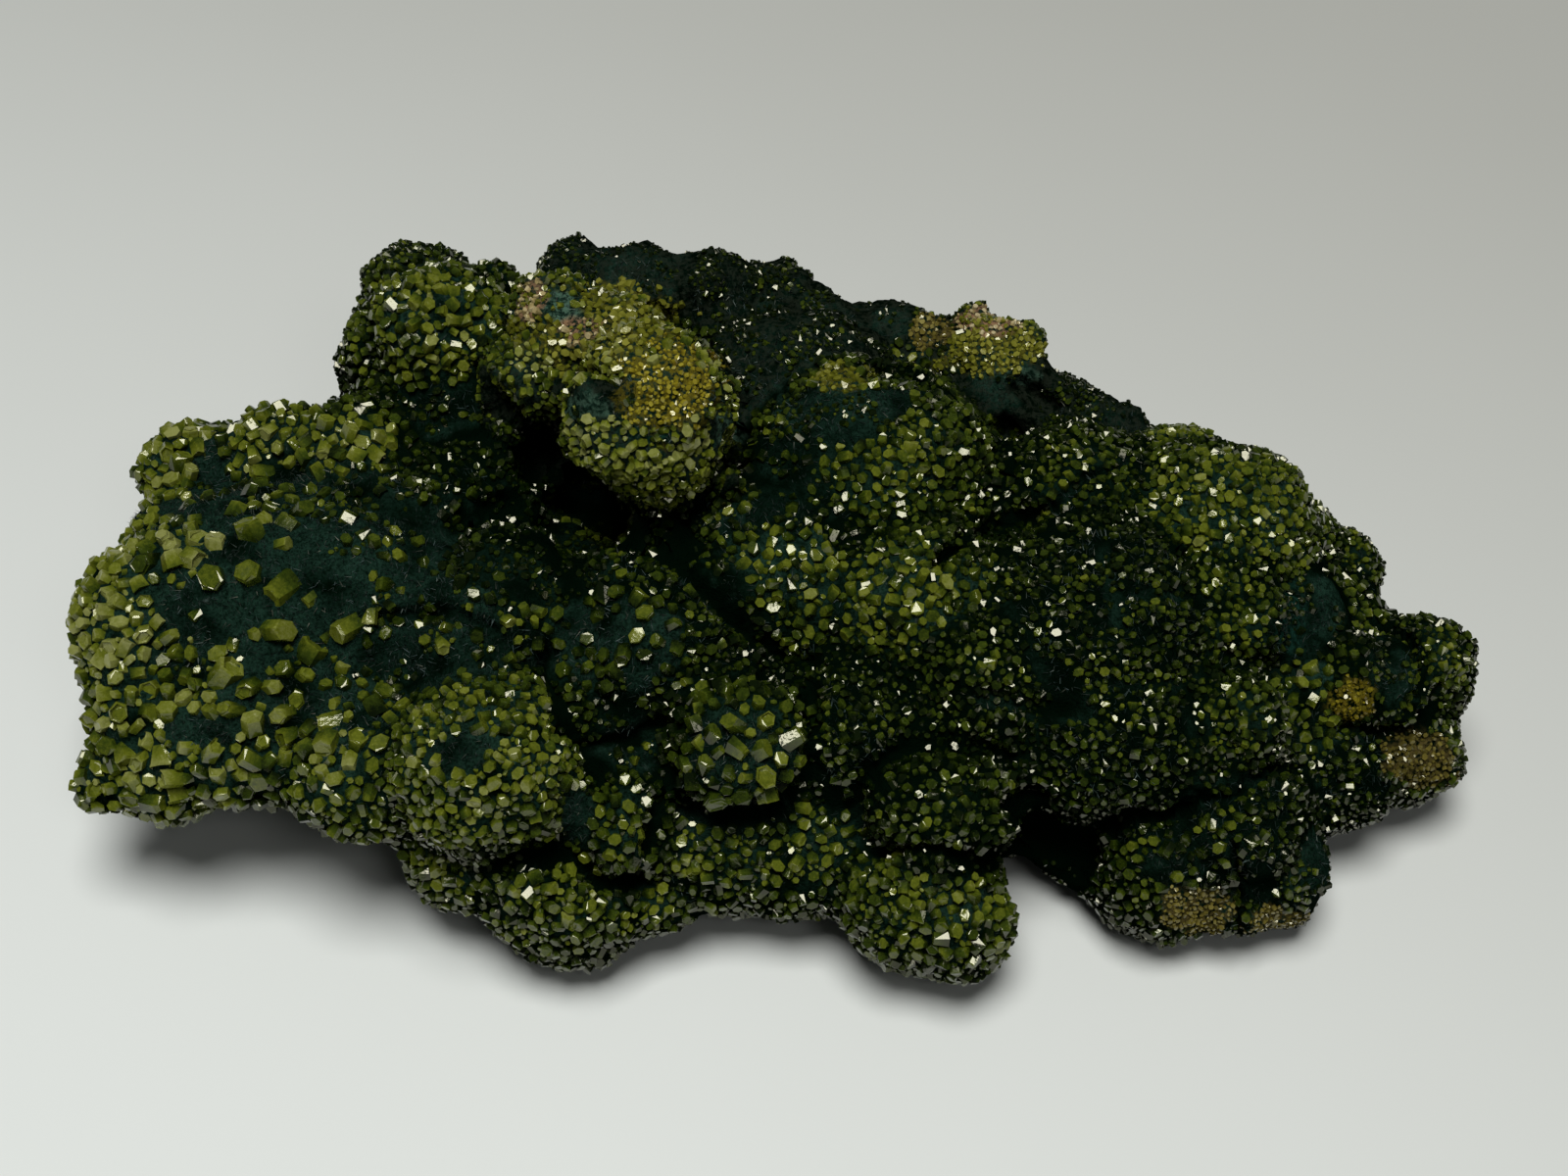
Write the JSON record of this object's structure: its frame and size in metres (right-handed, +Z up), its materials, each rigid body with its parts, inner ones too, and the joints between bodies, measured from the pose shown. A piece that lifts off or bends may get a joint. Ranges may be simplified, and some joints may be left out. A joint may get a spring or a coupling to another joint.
{
  "type": "pyromorphite on malachite specimen",
  "caption": "Botryoidal malachite specimen, dark velvety green lobes set all over with stubby six-sided olive pyromorphite crystals, resting on its flat broken base.",
  "frame": {"origin": "on the table under the middle of the specimen's bounding box", "axes": "+X along the length, from the blunt arm to the tapered end; +Y away from the side that the picture looks from; +Z up from the table"},
  "size_m": [0.1435, 0.0886, 0.0491],
  "materials": {
    "malachite": "matte",
    "pyromorphite": "satin"
  },
  "bodies": {
    "root": {"pyromorphite_on_malachite": "malachite"}
  },
  "joints": []
}
